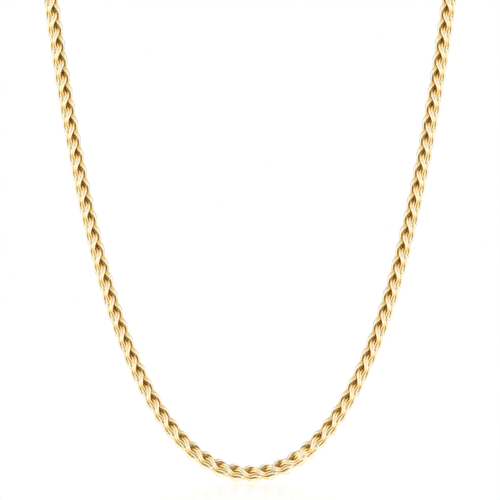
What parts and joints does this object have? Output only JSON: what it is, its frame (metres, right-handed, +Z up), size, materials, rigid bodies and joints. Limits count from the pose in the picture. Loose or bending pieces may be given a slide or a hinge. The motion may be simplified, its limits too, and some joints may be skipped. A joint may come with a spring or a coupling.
{
  "type": "necklace",
  "caption": "Gold wheat chain necklace, a closed loop of interlocked links that hangs in a deep U from the nape, with soldered end caps, jump rings and a closed clasp",
  "frame": {"origin": "middle of the nape, on the line of the closed clasp, where the necklace sits on the back of a neck", "axes": "+X from the strand at the picture's left to the strand at its right, +Y from the front strand to the nape, +Z up; the front strand hangs below the origin in a plane of constant Y"},
  "size_m": [0.1254, 0.0726, 0.1703],
  "materials": {
    "chain_gold": "polished yellow gold wire, bright with dark crevices between the links",
    "fitting_gold": "polished yellow gold, smooth"
  },
  "bodies": {
    "root": {"chain": "chain_gold", "end_cap_left": "fitting_gold", "end_cap_right": "fitting_gold", "jump_ring": "fitting_gold", "catch_ring": "fitting_gold", "clasp": "fitting_gold"}
  },
  "joints": []
}
